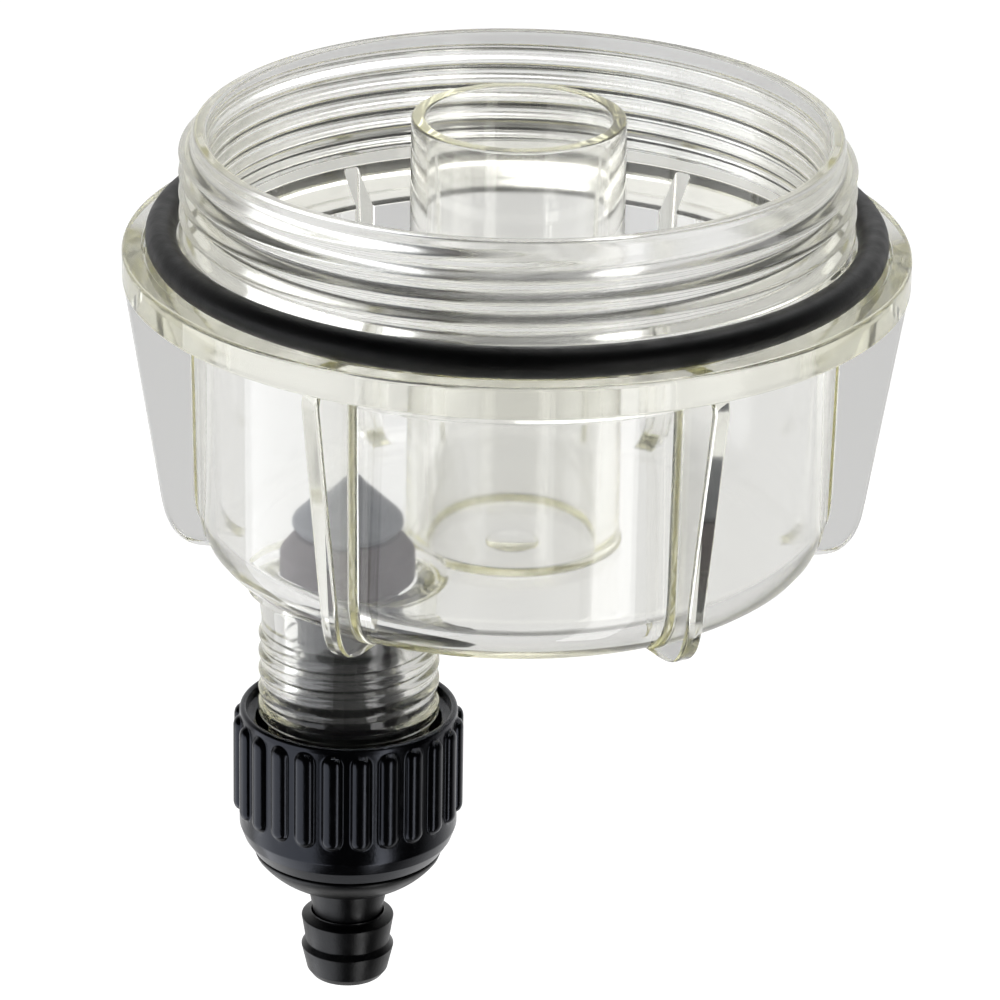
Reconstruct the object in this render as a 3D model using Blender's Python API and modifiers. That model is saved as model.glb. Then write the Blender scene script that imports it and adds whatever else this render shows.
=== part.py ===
"""Clear collection bowl of a spin-on water separator, with its seal ring and screw-down drain valve.

Frame: metres, +Z up. The origin is on the bowl's thread axis, in the plane of the flange's top face.
The drain's own axis is parallel to it, on the -Y side.
"""

import math

import bmesh
import bpy
from mathutils import Matrix

MM = 0.001
GAP = 0.3 * MM  # between a piece and the neighbour that it touches

# Collar and its thread, M95 x 3
COLLAR_TOP = 16.85 * MM
RIM_OUT_R = 45.5 * MM
RIM_IN_R = 43.55 * MM
THREAD_R = 47.5 * MM
THREAD_ROOT_R = 45.7 * MM
THREAD_PITCH = 3.0 * MM
THREAD_TURNS = 4
THREAD_FIRST_CREST = 13.8 * MM

# Seal ring and the shallow groove that it lies in
RING_R = 50.0 * MM
RING_SECTION_R = 2.2 * MM
RING_Z = 1.5 * MM
GROOVE_OUT_R = 52.5 * MM
GROOVE_Z = RING_Z - RING_SECTION_R - GAP

# Flange, wall and floor
FLANGE_R = 55.5 * MM
FLANGE_BOTTOM = -4.5 * MM  # at the rim
FLANGE_ROOT_Z = -9.1 * MM  # the underside slopes down to the wall
FLANGE_BEVEL = 0.55 * MM
WALL_TOP_R = 45.6 * MM
WALL_LOW_R = 44.9 * MM
CORNER_R = 8.0 * MM
BOWL_BOTTOM = -46.7 * MM
INSIDE_TOP_R = 43.2 * MM
INSIDE_LOW_R = 42.3 * MM
INSIDE_CORNER_R = 5.5 * MM
FLOOR_TOP = -43.8 * MM

# Ribs
RIB_COUNT = 6
RIB_THICKNESS = 2.8 * MM
RIB_TOP_R = 55.4 * MM
RIB_TOP_Z = -6.2 * MM
RIB_LOW_R = 50.2 * MM
RIB_LOW_Z = -39.2 * MM
RIB_FOOT_R = 44.3 * MM
RIB_FOOT_Z = -46.35 * MM
RIB_END_R = 38.7 * MM
RIB_ROOT_TOP_R = 44.2 * MM  # the root lies inside the wall
RIB_ROOT_LOW_R = 43.5 * MM
RIB_START_Z = -2.4 * MM

# Standpipe, moulded in one with the bowl
PIPE_TOP = 18.75 * MM
PIPE_TOP_R = 15.05 * MM
PIPE_TOP_BORE_R = 13.05 * MM
PIPE_FOOT_R = 15.35 * MM
PIPE_FOOT_BORE_R = 12.2 * MM
PIPE_EDGE = 0.5 * MM
PIPE_FOOT_SLOPE = 0.6 * MM

# Drain spigot and its thread
DRAIN_Y = -26.5 * MM
SPIGOT_R = 12.9 * MM
SPIGOT_ROOT_R = 11.5 * MM
SPIGOT_PITCH = 2.8 * MM
SPIGOT_FIRST_CREST = -50.6 * MM
SPIGOT_END = -74.0 * MM
SPIGOT_TOP = -45.2 * MM  # inside the floor
SPIGOT_NECK_Z = -47.9 * MM
BORE_R = 9.0 * MM
SEAT_R = 9.7 * MM
SEAT_Z = -45.2 * MM
SEAT_DEPTH = 1.4 * MM
MOUTH_R = 12.9 * MM

# Valve stem, seal and tip
STEM_R = 7.1 * MM
STEM_BORE_R = 4.2 * MM
STEM_TOP = -46.6 * MM
PIN_R = 3.0 * MM
PIN_TOP = -33.0 * MM
PORT_TOP = -50.0 * MM
PORT_BOTTOM = -57.0 * MM
PORT_WIDTH = 5.0 * MM
GLAND_R = 8.6 * MM
GLAND_TOP = -66.5 * MM
GLAND_BOTTOM = -74.5 * MM
O_RING_Z = -70.5 * MM
O_RING_SECTION_R = 0.9 * MM
O_RING_R = 7.75 * MM
STEM_END = -87.0 * MM
STEM_END_R = 6.0 * MM
SEAL_R = 9.4 * MM
SEAL_TOP_R = 7.3 * MM
SEAL_BOTTOM_R = 7.9 * MM
SEAL_TOP = -38.3 * MM
SEAL_SIDE_TOP = -41.0 * MM
SEAL_SIDE_BOTTOM = -44.95 * MM
SEAL_BOTTOM = -46.3 * MM
TIP_R = 7.75 * MM
TIP_NOSE_R = 1.5 * MM
TIP_TOP = -29.6 * MM
TIP_SIDE_TOP = -36.1 * MM
TIP_BOTTOM = -38.0 * MM

# Drain nut, whose flat bottom is as wide as the dome below it
DOME_R = 13.65 * MM
NUT_TOP = -65.5 * MM
NUT_R = 15.6 * MM
NUT_MOUTH_R = 14.55 * MM
NUT_BORE_R = 13.35 * MM
NUT_BOTTOM = -87.35 * MM
NUT_FLOOR = -84.4 * MM
NUT_HOLE_R = 9.6 * MM
NUT_MOUTH_DEPTH = 1.6 * MM
NUT_ROUND_Z = -83.2 * MM
NUT_EDGE_R = 14.95 * MM
NUT_EDGE_Z = -85.4 * MM
GRIP_R = 16.55 * MM
GRIP_TOP = -66.6 * MM
GRIP_BOTTOM = -81.2 * MM
GRIP_COUNT = 24
GRIP_FIRST = math.radians(8.0)  # direction of the first rib
GRIP_RIB_SHARE = 0.7  # part of each step round the nut that the rib takes

# Hose tail
TAIL_TOP = -81.6 * MM
SLEEVE_R = 9.2 * MM
DOME_TOP = NUT_BOTTOM - GAP
DOME_CORNER = (10.8 * MM, -92.2 * MM)
NECK_R = 5.27 * MM
NECK_TOP = -93.5 * MM
BARB_R = 6.68 * MM
BARB_TOPS = (-98.3 * MM, -103.0 * MM)
BARB_LENGTH = 3.4 * MM
BARB_LIP = 0.5 * MM
BARB_LOW_R = 6.05 * MM
BARB_END_R = 5.75 * MM
TAIL_END = -108.0 * MM
TAIL_END_R = 5.1 * MM
TAIL_BORE_R = 3.6 * MM
CLIP_SECTION = 1.0 * MM
CLIP_R = 10.9 * MM
CLIP_GROOVE_R = 8.4 * MM
CLIP_Z = NUT_FLOOR + GAP + CLIP_SECTION / 2

BIG_STEPS = 64
SMALL_STEPS = 32


def new_collection(name):
    found = bpy.data.collections.new(name)
    bpy.context.scene.collection.children.link(found)
    return found


def clear_scene():
    for obj in list(bpy.data.objects):
        bpy.data.objects.remove(obj, do_unlink=True)


def principled(name, color, roughness, alpha=1.0, transmission=0.0):
    material = bpy.data.materials.new(name)
    material.use_nodes = True
    shader = material.node_tree.nodes["Principled BSDF"]
    shader.inputs["Base Color"].default_value = (*color, 1.0)
    shader.inputs["Roughness"].default_value = roughness
    shader.inputs["Metallic"].default_value = 0.0
    shader.inputs["Alpha"].default_value = alpha
    shader.inputs["Transmission Weight"].default_value = transmission
    return material


def arc(centre, radius, start, end, count):
    """Points of an arc in the (radius, height) plane, from one angle to another in degrees."""
    angles = [math.radians(start + (end - start) * i / (count - 1)) for i in range(count)]
    return [(centre[0] + radius * math.cos(a), centre[1] + radius * math.sin(a)) for a in angles]


def bend(start, corner, end, count):
    """Points of a smooth bend from start to end that leaves and arrives along the lines through corner."""
    points = []
    for i in range(count):
        t = i / (count - 1)
        weights = ((1 - t) ** 2, 2 * t * (1 - t), t**2)
        points.append(tuple(sum(w * p[k] for w, p in zip(weights, (start, corner, end))) for k in (0, 1)))
    return points


def thread_profile(crest_r, root_r, pitch, first_crest, turns):
    """Crest and root points of a ring thread, from its top down, with a narrow flat on each crest."""
    flat = 0.1 * pitch
    points = []
    for turn in range(turns):
        crest = first_crest - turn * pitch
        points.append((crest_r, crest + flat))
        points.append((crest_r, crest - flat))
        points.append((root_r, crest - pitch / 2))
    return points


def turned(name, profile, collection, material=None, centre_y=0.0, steps=SMALL_STEPS, closed=False):
    """A shape turned about the vertical line through (0, centre_y), from its (radius, height) profile."""
    mesh = bpy.data.meshes.new(name)
    count = len(profile)
    edges = [(i, i + 1) for i in range(count - 1)]
    if closed:
        edges.append((count - 1, 0))
    mesh.from_pydata([(r, 0.0, z) for r, z in profile], edges, [])
    obj = bpy.data.objects.new(name, mesh)
    collection.objects.link(obj)
    obj.location.y = centre_y
    screw = obj.modifiers.new("turn", "SCREW")
    screw.steps = steps
    screw.render_steps = steps
    screw.use_merge_vertices = True
    screw.merge_threshold = 0.00001
    screw.use_smooth_shade = True
    if material:
        mesh.materials.append(material)
    return obj


def plate(name, outline, half_thickness, collection):
    """A flat plate from a closed outline of (x, y), made solid as a mesh."""
    curve = bpy.data.curves.new(name, "CURVE")
    curve.dimensions = "2D"
    curve.fill_mode = "BOTH"
    curve.extrude = half_thickness
    spline = curve.splines.new("POLY")
    spline.points.add(len(outline) - 1)
    for point, (x, y) in zip(spline.points, outline):
        point.co = (x, y, 0.0, 1.0)
    spline.use_cyclic_u = True
    guide = bpy.data.objects.new(name + "_outline", curve)
    collection.objects.link(guide)
    bpy.context.view_layer.update()
    graph = bpy.context.evaluated_depsgraph_get()
    mesh = bpy.data.meshes.new_from_object(guide.evaluated_get(graph))
    bpy.data.objects.remove(guide)
    solid = bmesh.new()
    solid.from_mesh(mesh)
    bmesh.ops.remove_doubles(solid, verts=solid.verts, dist=0.000001)
    bmesh.ops.recalc_face_normals(solid, faces=solid.faces)
    solid.to_mesh(mesh)
    solid.free()
    obj = bpy.data.objects.new(name, mesh)
    collection.objects.link(obj)
    return obj


def box(name, size, centre, collection):
    mesh = bpy.data.meshes.new(name)
    solid = bmesh.new()
    bmesh.ops.create_cube(solid, size=1.0, matrix=Matrix.Diagonal((*size, 1.0)))
    solid.to_mesh(mesh)
    solid.free()
    obj = bpy.data.objects.new(name, mesh)
    collection.objects.link(obj)
    obj.location = centre
    return obj


def combine(obj, helper, operation):
    helper.hide_render = True
    helper.display_type = "WIRE"
    modifier = obj.modifiers.new(helper.name, "BOOLEAN")
    modifier.operation = operation
    modifier.solver = "EXACT"
    modifier.object = helper


def rib_outline():
    """Rib in the (radius, height) plane: its inner side is buried in the wall and the floor."""
    lean = (RIB_TOP_R - RIB_LOW_R) / (RIB_TOP_Z - RIB_LOW_Z)
    corner_r = RIB_LOW_R + lean * (RIB_FOOT_Z - RIB_LOW_Z)
    outside = [(RIB_ROOT_TOP_R, RIB_START_Z), (RIB_TOP_R - 0.7 * MM, RIB_START_Z), (RIB_TOP_R, RIB_TOP_Z)]
    knee = bend((RIB_LOW_R, RIB_LOW_Z), (corner_r, RIB_FOOT_Z), (RIB_FOOT_R, RIB_FOOT_Z), 6)
    middle_r = WALL_LOW_R - CORNER_R / 2 + 1.6 * MM
    inside = [
        (RIB_END_R, RIB_FOOT_Z),
        (RIB_END_R, RIB_FOOT_Z + MM),
        (middle_r - MM, RIB_FOOT_Z + 3.75 * MM),
        (RIB_ROOT_LOW_R, BOWL_BOTTOM + CORNER_R + 0.7 * MM),
    ]
    return outside + knee + inside


def standpipe_profile():
    """The tube that rises from the middle of the floor, from its inside to its outside, with sloped feet."""
    return [
        (PIPE_FOOT_BORE_R - PIPE_FOOT_SLOPE, FLOOR_TOP),
        (PIPE_FOOT_BORE_R, FLOOR_TOP + PIPE_FOOT_SLOPE),
        (PIPE_TOP_BORE_R, PIPE_TOP - PIPE_EDGE),
        (PIPE_TOP_BORE_R + PIPE_EDGE, PIPE_TOP),
        (PIPE_TOP_R - PIPE_EDGE, PIPE_TOP),
        (PIPE_TOP_R, PIPE_TOP - PIPE_EDGE),
        (PIPE_FOOT_R, FLOOR_TOP + PIPE_FOOT_SLOPE),
        (PIPE_FOOT_R + PIPE_FOOT_SLOPE, FLOOR_TOP),
    ]


def make_bowl(parts, helpers, material):
    corner_centre = (WALL_LOW_R - CORNER_R, BOWL_BOTTOM + CORNER_R)
    inside_centre = (INSIDE_LOW_R - INSIDE_CORNER_R, FLOOR_TOP + INSIDE_CORNER_R)
    threads = thread_profile(THREAD_R, THREAD_ROOT_R, THREAD_PITCH, THREAD_FIRST_CREST, THREAD_TURNS)
    profile = [(0.0, FLOOR_TOP)] + standpipe_profile()
    profile += arc(inside_centre, INSIDE_CORNER_R, -90, 0, 5)
    profile += [(INSIDE_TOP_R, 0.0), (RIM_IN_R, COLLAR_TOP), (RIM_OUT_R, COLLAR_TOP)]
    profile += [(THREAD_ROOT_R, THREAD_FIRST_CREST + THREAD_PITCH / 2)]
    profile += threads
    profile += [(THREAD_ROOT_R, GROOVE_Z), (GROOVE_OUT_R, GROOVE_Z), (GROOVE_OUT_R, 0.0)]
    profile += [(FLANGE_R - FLANGE_BEVEL, 0.0), (FLANGE_R, -FLANGE_BEVEL)]
    profile += [(FLANGE_R, FLANGE_BOTTOM), (WALL_TOP_R, FLANGE_ROOT_Z)]
    profile += arc(corner_centre, CORNER_R, 0, -90, 6)
    profile += [(0.0, BOWL_BOTTOM)]
    bowl = turned("bowl", profile, parts, material, steps=BIG_STEPS)

    outline = rib_outline()
    for i in range(RIB_COUNT):
        rib = plate(f"rib_{i}", outline, RIB_THICKNESS / 2, helpers)
        angle = math.radians(-90 + 30 + 60 * i)
        stand = Matrix.Rotation(math.radians(90), 4, "X")
        rib.matrix_world = Matrix.Rotation(angle, 4, "Z") @ stand
        combine(bowl, rib, "UNION")

    turns = int((SPIGOT_FIRST_CREST - SPIGOT_END) / SPIGOT_PITCH)
    spigot_profile = [(0.0, SPIGOT_TOP), (SPIGOT_R, SPIGOT_TOP), (SPIGOT_R, SPIGOT_NECK_Z)]
    spigot_profile += [(SPIGOT_ROOT_R, SPIGOT_FIRST_CREST + SPIGOT_PITCH / 2)]
    spigot_profile += thread_profile(SPIGOT_R, SPIGOT_ROOT_R, SPIGOT_PITCH, SPIGOT_FIRST_CREST, turns)
    spigot_profile += [(SPIGOT_ROOT_R, SPIGOT_END), (0.0, SPIGOT_END)]
    spigot = turned("spigot_blank", spigot_profile, helpers, centre_y=DRAIN_Y)
    combine(bowl, spigot, "UNION")

    bore_profile = [(0.0, FLOOR_TOP + 1.0 * MM), (MOUTH_R + 1.0 * MM, FLOOR_TOP + 1.0 * MM)]
    bore_profile += [(MOUTH_R, FLOOR_TOP), (SEAT_R, SEAT_Z), (BORE_R, SEAT_Z - SEAT_DEPTH)]
    bore_profile += [(BORE_R, SPIGOT_END - 1.0 * MM), (0.0, SPIGOT_END - 1.0 * MM)]
    bore = turned("spigot_bore", bore_profile, helpers, centre_y=DRAIN_Y)
    combine(bowl, bore, "DIFFERENCE")
    return bowl


def make_seal_ring(parts, material):
    section = arc((RING_R, RING_Z), RING_SECTION_R, 90, -225, 8)
    return turned("bowl_seal_ring", section, parts, material, steps=BIG_STEPS, closed=True)


def make_valve_stem(parts, helpers, material):
    """Hollow stem: ports under the seal, a gland for the ring, and an end that sits in the hose tail."""
    groove_r = O_RING_R - O_RING_SECTION_R - GAP
    groove_half = O_RING_SECTION_R + GAP
    profile = [
        (0.0, PIN_TOP),
        (PIN_R, PIN_TOP),
        (PIN_R, STEM_TOP),
        (STEM_R, STEM_TOP),
        (STEM_R, GLAND_TOP),
        (GLAND_R, GLAND_TOP),
        (GLAND_R, O_RING_Z + groove_half),
        (groove_r, O_RING_Z + groove_half),
        (groove_r, O_RING_Z - groove_half),
        (GLAND_R, O_RING_Z - groove_half),
        (GLAND_R, GLAND_BOTTOM),
        (STEM_END_R, GLAND_BOTTOM),
        (STEM_END_R, STEM_END),
        (STEM_BORE_R, STEM_END),
        (STEM_BORE_R, PORT_TOP),
        (0.0, PORT_TOP),
    ]
    stem = turned("valve_stem", profile, parts, material, centre_y=DRAIN_Y)
    height = PORT_TOP - PORT_BOTTOM
    middle = (0.0, DRAIN_Y, (PORT_TOP + PORT_BOTTOM) / 2 - 0.4 * MM)
    across = box("port_across", (4 * STEM_R, PORT_WIDTH, height), middle, helpers)
    combine(stem, across, "DIFFERENCE")
    return stem


def make_stem_o_ring(parts, material):
    section = arc((O_RING_R, O_RING_Z), O_RING_SECTION_R, 90, -210, 6)
    return turned("stem_o_ring", section, parts, material, centre_y=DRAIN_Y, closed=True)


def make_valve_seal(parts, material):
    """Ring with a sloped shoulder, a straight side and a lower edge that meets the seat."""
    hole = PIN_R + GAP
    profile = [(hole, SEAL_BOTTOM), (hole, SEAL_TOP)]
    profile += [(SEAL_TOP_R, SEAL_TOP), (SEAL_R, SEAL_SIDE_TOP), (SEAL_R, SEAL_SIDE_BOTTOM)]
    profile += [(SEAL_R - 0.8 * MM, SEAL_BOTTOM + 0.7 * MM), (SEAL_BOTTOM_R, SEAL_BOTTOM)]
    return turned("valve_seal", profile, parts, material, centre_y=DRAIN_Y, closed=True)


def make_valve_tip(parts, material):
    """Blunt cone with a blind hole for the stem's pin."""
    hole = PIN_R + GAP
    profile = [(0.0, TIP_TOP), (TIP_NOSE_R, TIP_TOP - 0.4 * MM)]
    profile += [(TIP_R, TIP_SIDE_TOP), (TIP_R, TIP_SIDE_TOP - 0.9 * MM)]
    profile += [(TIP_R - 0.85 * MM, TIP_BOTTOM), (hole, TIP_BOTTOM)]
    profile += [(hole, PIN_TOP + GAP), (0.0, PIN_TOP + GAP)]
    return turned("valve_tip", profile, parts, material, centre_y=DRAIN_Y)


def grip_outline():
    """Outline of the nut's ribs, seen along the axis: flat-topped ribs with sloped sides."""
    step = 2 * math.pi / GRIP_COUNT
    inner_r = NUT_R - 0.5 * MM
    points = []
    for i in range(GRIP_COUNT):
        middle = GRIP_FIRST + i * step
        half_top = step * (GRIP_RIB_SHARE / 2 - 0.08)
        half_foot = step * GRIP_RIB_SHARE / 2
        for radius, offset in (
            (inner_r, -half_foot),
            (GRIP_R, -half_top),
            (GRIP_R, half_top),
            (inner_r, half_foot),
        ):
            angle = middle + offset
            points.append((radius * math.cos(angle), radius * math.sin(angle)))
    return points


def make_drain_nut(parts, helpers, material):
    """Turned body with grip ribs joined on, then the inside cleared again where the ribs reach through."""
    ledge = NUT_TOP - NUT_MOUTH_DEPTH
    inside = [(NUT_MOUTH_R, ledge), (NUT_BORE_R, ledge - 0.4 * MM), (NUT_BORE_R, NUT_FLOOR)]
    outside = [(NUT_HOLE_R, NUT_BOTTOM), (NUT_HOLE_R, NUT_FLOOR)]
    outside += list(reversed(inside))
    outside += [(NUT_MOUTH_R, NUT_TOP), (NUT_R - 0.5 * MM, NUT_TOP), (NUT_R, NUT_TOP - 0.9 * MM)]
    outside += bend((NUT_R, NUT_ROUND_Z), (NUT_R, NUT_EDGE_Z + 0.8 * MM), (NUT_EDGE_R, NUT_EDGE_Z), 4)
    outside += [(DOME_R, NUT_BOTTOM)]
    nut = turned("drain_nut", outside, parts, material, centre_y=DRAIN_Y, steps=2 * GRIP_COUNT, closed=True)
    grip = plate("grip_ribs", grip_outline(), (GRIP_TOP - GRIP_BOTTOM) / 2, helpers)
    grip.location = (0.0, DRAIN_Y, (GRIP_TOP + GRIP_BOTTOM) / 2)
    combine(nut, grip, "UNION")
    over = NUT_TOP + MM
    hollow = [(0.0, over), (NUT_MOUTH_R, over)] + inside + [(0.0, NUT_FLOOR)]
    cutter = turned("nut_inside", hollow, helpers, centre_y=DRAIN_Y, steps=2 * GRIP_COUNT)
    combine(nut, cutter, "DIFFERENCE")
    return nut


def make_hose_tail(parts, material):
    """Sleeve through the nut's floor with a clip groove, dome under the nut, neck and two barbs."""
    socket_r = STEM_END_R + GAP
    socket_floor = STEM_END - GAP
    groove_half = CLIP_SECTION / 2 + GAP
    profile = [(TAIL_BORE_R, TAIL_END), (TAIL_BORE_R, socket_floor), (socket_r, socket_floor)]
    profile += [(socket_r, TAIL_TOP), (SLEEVE_R, TAIL_TOP), (SLEEVE_R, CLIP_Z + groove_half)]
    profile += [(CLIP_GROOVE_R, CLIP_Z + groove_half), (CLIP_GROOVE_R, CLIP_Z - groove_half)]
    profile += [(SLEEVE_R, CLIP_Z - groove_half), (SLEEVE_R, DOME_TOP)]
    profile += bend((DOME_R, DOME_TOP), DOME_CORNER, (NECK_R, NECK_TOP), 6)
    above_r = NECK_R
    for top in BARB_TOPS:
        profile += [(above_r, top + BARB_LIP / 2), (BARB_R, top - BARB_LIP / 2), (BARB_R, top - BARB_LIP)]
        profile += [(BARB_LOW_R, top - BARB_LENGTH)]
        above_r = BARB_LOW_R
    profile += [(BARB_END_R, TAIL_END + 0.9 * MM), (TAIL_END_R, TAIL_END)]
    return turned("hose_tail", profile, parts, material, centre_y=DRAIN_Y, closed=True)


def make_retaining_clip(parts, helpers, material):
    top = CLIP_Z + CLIP_SECTION / 2
    bottom = CLIP_Z - CLIP_SECTION / 2
    inner = CLIP_GROOVE_R + GAP
    profile = [(inner, bottom), (inner, top), (CLIP_R, top), (CLIP_R, bottom)]
    clip = turned("retaining_clip", profile, parts, material, centre_y=DRAIN_Y, closed=True)
    slot_size = (CLIP_R, 5.0 * MM, 3 * CLIP_SECTION)
    slot = box("clip_slot", slot_size, (-CLIP_R, DRAIN_Y, CLIP_Z), helpers)
    combine(clip, slot, "DIFFERENCE")
    return clip


def main():
    clear_scene()
    parts = new_collection("water_separator_bowl")
    helpers = new_collection("helpers")
    clear_plastic = principled("clear_plastic", (0.93, 0.93, 0.88), 0.05, 0.35, 1.0)
    black_plastic = principled("black_plastic", (0.018, 0.018, 0.02), 0.25)
    tail_plastic = principled("tail_plastic", (0.02, 0.02, 0.022), 0.32)
    stem_plastic = principled("stem_plastic", (0.015, 0.015, 0.016), 0.35)
    tip_plastic = principled("tip_plastic", (0.03, 0.033, 0.038), 0.4)
    rubber = principled("rubber", (0.016, 0.016, 0.018), 0.55)
    seal_rubber = principled("seal_rubber", (0.035, 0.028, 0.03), 0.6)
    o_ring_rubber = principled("o_ring_rubber", (0.016, 0.016, 0.016), 0.5)
    spring_steel = principled("spring_steel", (0.55, 0.55, 0.56), 0.3)
    spring_steel.node_tree.nodes["Principled BSDF"].inputs["Metallic"].default_value = 1.0

    make_bowl(parts, helpers, clear_plastic)
    make_seal_ring(parts, rubber)
    make_drain_nut(parts, helpers, black_plastic)
    make_hose_tail(parts, tail_plastic)
    make_valve_stem(parts, helpers, stem_plastic)
    make_valve_seal(parts, seal_rubber)
    make_valve_tip(parts, tip_plastic)
    make_stem_o_ring(parts, o_ring_rubber)
    make_retaining_clip(parts, helpers, spring_steel)


main()
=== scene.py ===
"""Looks of a clear water separator bowl with its seal ring, drain valve, ribbed drain nut and hose tail.

Frame: metres, +Z up, origin on the bowl's thread axis in the plane of the flange's top face.
Every piece stands for one CAD node and keeps its size and place.
"""

import math

import bmesh
import bpy
from mathutils import Matrix, Vector


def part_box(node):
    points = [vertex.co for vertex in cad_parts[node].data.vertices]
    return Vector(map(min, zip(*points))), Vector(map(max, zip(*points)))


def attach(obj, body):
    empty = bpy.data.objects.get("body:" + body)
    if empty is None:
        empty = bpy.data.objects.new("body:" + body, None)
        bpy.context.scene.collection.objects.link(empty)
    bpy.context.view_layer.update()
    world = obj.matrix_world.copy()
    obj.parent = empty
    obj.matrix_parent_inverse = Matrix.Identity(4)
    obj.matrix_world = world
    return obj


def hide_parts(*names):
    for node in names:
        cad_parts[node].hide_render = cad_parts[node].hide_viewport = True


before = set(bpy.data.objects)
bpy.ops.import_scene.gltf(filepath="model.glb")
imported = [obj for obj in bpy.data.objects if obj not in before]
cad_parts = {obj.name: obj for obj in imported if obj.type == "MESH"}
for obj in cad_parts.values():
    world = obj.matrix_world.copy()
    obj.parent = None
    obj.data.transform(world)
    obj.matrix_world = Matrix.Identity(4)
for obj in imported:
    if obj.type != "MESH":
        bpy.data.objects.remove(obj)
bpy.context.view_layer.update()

MM = 0.001

BOWL_LOW, BOWL_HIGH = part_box("bowl")
RING_LOW, RING_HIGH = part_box("bowl_seal_ring")
NUT_LOW, NUT_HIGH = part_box("drain_nut")
TAIL_LOW, TAIL_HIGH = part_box("hose_tail")
STEM_LOW, STEM_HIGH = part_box("valve_stem")
SEAL_LOW, SEAL_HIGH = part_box("valve_seal")
TIP_LOW, TIP_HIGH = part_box("valve_tip")
CLIP_LOW, CLIP_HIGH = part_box("retaining_clip")

DRAIN_Y = (TAIL_LOW.y + TAIL_HIGH.y) / 2
FLANGE_R = BOWL_HIGH.x
PIPE_TOP = BOWL_HIGH.z
SPIGOT_END = BOWL_LOW.z


# ---------------------------------------------------------------- shapes

TURN_POINTS = 16  # points in each turn of a thread's section


def wave(k):
    """Point k of a turn: share of the pitch below the crest's middle, and share of the depth."""
    share = k / TURN_POINTS - 0.5
    return share, 0.5 + 0.5 * math.cos(2 * math.pi * share)


class Thread:
    """A round helical thread on a turned surface.

    Its crest runs down from (end_angle, top) for a number of turns, and fades in and out at its ends.
    """

    FORM = tuple(wave(k) for k in range(1, TURN_POINTS + 1))

    def __init__(self, crest_r, root_r, pitch, top, turns, end_angle, zone, fade):
        self.crest_r = crest_r
        self.root_r = root_r
        self.pitch = pitch
        self.top = top
        self.turns = turns
        self.end_angle = end_angle
        self.zone = zone
        self.fade = fade

    def height(self, turn):
        """Share of the thread's depth at this many turns from its upper end."""
        rise = min(max(turn / self.fade, 0.0), 1.0)
        fall = min(max((self.turns - turn) / self.fade, 0.0), 1.0)
        level = min(rise, fall)
        return level * level * (3 - 2 * level)

    def rows(self, angle):
        """(key, radius, height) of the points of one column, from the top of the zone to its bottom."""
        lag = (self.end_angle - angle) / (2 * math.pi)
        high, low = self.zone
        found = []
        first = math.floor((self.top - high) / self.pitch - lag) - 1
        last = math.ceil((self.top - low) / self.pitch - lag) + 1
        for n in range(first, last + 1):
            turn = n + lag
            level = self.height(turn)
            for i, (share, depth) in enumerate(self.FORM):
                z = self.top - self.pitch * (turn + share)
                if low < z < high:
                    r = self.root_r + (self.crest_r - self.root_r) * depth * level
                    found.append((n * TURN_POINTS + i, r, z))
        return found


def in_mm(*points):
    """Points given in millimetres, in metres."""
    return [tuple(value * MM for value in point) for point in points]


def arc(start, end, steps):
    """Cosine and sine of evenly spaced angles from start to end, in degrees."""
    turns = [math.radians(start + (end - start) * k / steps) for k in range(steps + 1)]
    return [(math.cos(turn), math.sin(turn)) for turn in turns]


def quadratic(a, b, c, t):
    """Point at t of the curve from a to c that b pulls towards itself."""
    return tuple((1 - t) ** 2 * p + 2 * t * (1 - t) * q + t * t * r for p, q, r in zip(a, b, c))


def rounded(points, steps):
    """Corner points (radius, height[, fillet]) as an outline where the corners with a fillet are arcs."""
    out = []
    for i, point in enumerate(points):
        if len(point) == 2:
            out.append(point)
            continue
        r, z, fillet = point
        here = Vector((r, z))
        before = Vector(points[i - 1][:2])
        after = Vector(points[(i + 1) % len(points)][:2])
        a = (before - here).normalized()
        b = (after - here).normalized()
        half = a.angle(b) / 2
        back = fillet / math.tan(half)
        centre = here + (a + b).normalized() * (fillet / math.sin(half))
        start = here + a * back - centre
        turn = math.pi - 2 * half
        side = 1 if a.x * b.y - a.y * b.x < 0 else -1
        for k in range(steps + 1):
            t = side * turn * k / steps
            x = start.x * math.cos(t) - start.y * math.sin(t)
            y = start.x * math.sin(t) + start.y * math.cos(t)
            out.append((centre.x + x, centre.y + y))
    return out


def column(profile, angle, closed):
    """Keyed points of a turned surface at one angle, in order along the profile."""
    points = []
    for i, item in enumerate(profile):
        if isinstance(item, Thread):
            points += [((i, key), r, z) for key, r, z in item.rows(angle)]
        else:
            points.append(((i, 0), *item))
    if closed:
        points.append(((len(profile), 0), *profile[0]))
    return points


def turned(name, profile, steps, y=0.0, closed=False, start=0.0):
    """A closed surface turned about the vertical through (0, y), its columns joined key by key."""
    verts, faces, columns = [], [], []
    poles = {}
    for j in range(steps):
        angle = 2 * math.pi * j / steps
        line = []
        for key, r, z in column(profile, angle, closed):
            if closed and key == (len(profile), 0):
                line.append((key, line[0][1]))
            elif r == 0.0:
                if key not in poles:
                    poles[key] = len(verts)
                    verts.append((0.0, y, z))
                line.append((key, poles[key]))
            else:
                line.append((key, len(verts)))
                turn = angle + start
                verts.append((r * math.cos(turn), y + r * math.sin(turn), z))
        columns.append(line)
    for j in range(steps):
        a = columns[j]
        b = columns[(j + 1) % steps]
        if j == steps - 1:
            b = [(next_key(profile, key), v) for key, v in b]
        faces += strip(a, b)
    mesh = bpy.data.meshes.new(name)
    mesh.from_pydata(verts, [], faces)
    return finished(name, mesh)


def next_key(profile, key):
    """A thread's key one turn further on, where the last column meets the first."""
    i, k = key
    if i < len(profile) and isinstance(profile[i], Thread):
        return (i, k + TURN_POINTS)
    return key


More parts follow.
